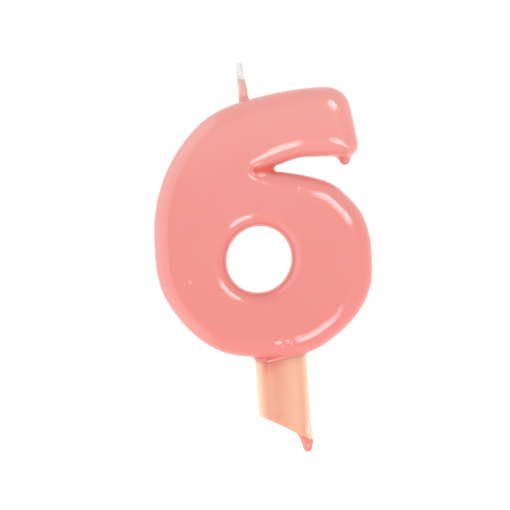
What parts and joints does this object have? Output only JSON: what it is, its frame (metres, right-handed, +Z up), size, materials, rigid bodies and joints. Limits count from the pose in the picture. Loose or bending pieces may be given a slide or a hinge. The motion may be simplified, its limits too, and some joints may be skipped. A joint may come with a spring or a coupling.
{
  "type": "number birthday candle",
  "caption": "Dip-lacquered wax candle in the shape of a six, with a short wick at its crown and a flat plastic pick with a slanting end at its foot.",
  "frame": {"origin": "where the pick leaves the foot of the digit, at mid-depth", "axes": "+Z up, from the pick to the crown; the face of the digit looks along -Y; +X to the right as the digit is read"},
  "size_m": [0.0565, 0.012, 0.1007],
  "materials": {
    "wax": "cast paraffin, pink, dull",
    "lacquer": "coral pink dip lacquer, high gloss",
    "wick_cotton": "undyed laid cotton, waxed",
    "wick_lacquer": "thin pink lacquer over the cotton",
    "pick_plastic": "natural translucent plastic, cream",
    "thin_lacquer": "thin translucent peach film, gloss",
    "lacquer_drip": "thick set lacquer, deeper pink, high gloss"
  },
  "bodies": {
    "root": {"wax_digit": "wax", "lacquer_coat": "lacquer", "wick_yarn_1": "wick_cotton", "wick_yarn_2": "wick_cotton", "wick_yarn_3": "wick_cotton", "wick_lacquer_sleeve": "wick_lacquer", "pick": "pick_plastic", "pick_lacquer_film": "thin_lacquer", "pick_shoulder_bead": "lacquer", "pick_tip_drip": "lacquer_drip", "terminal_drip": "lacquer_drip"}
  },
  "joints": []
}
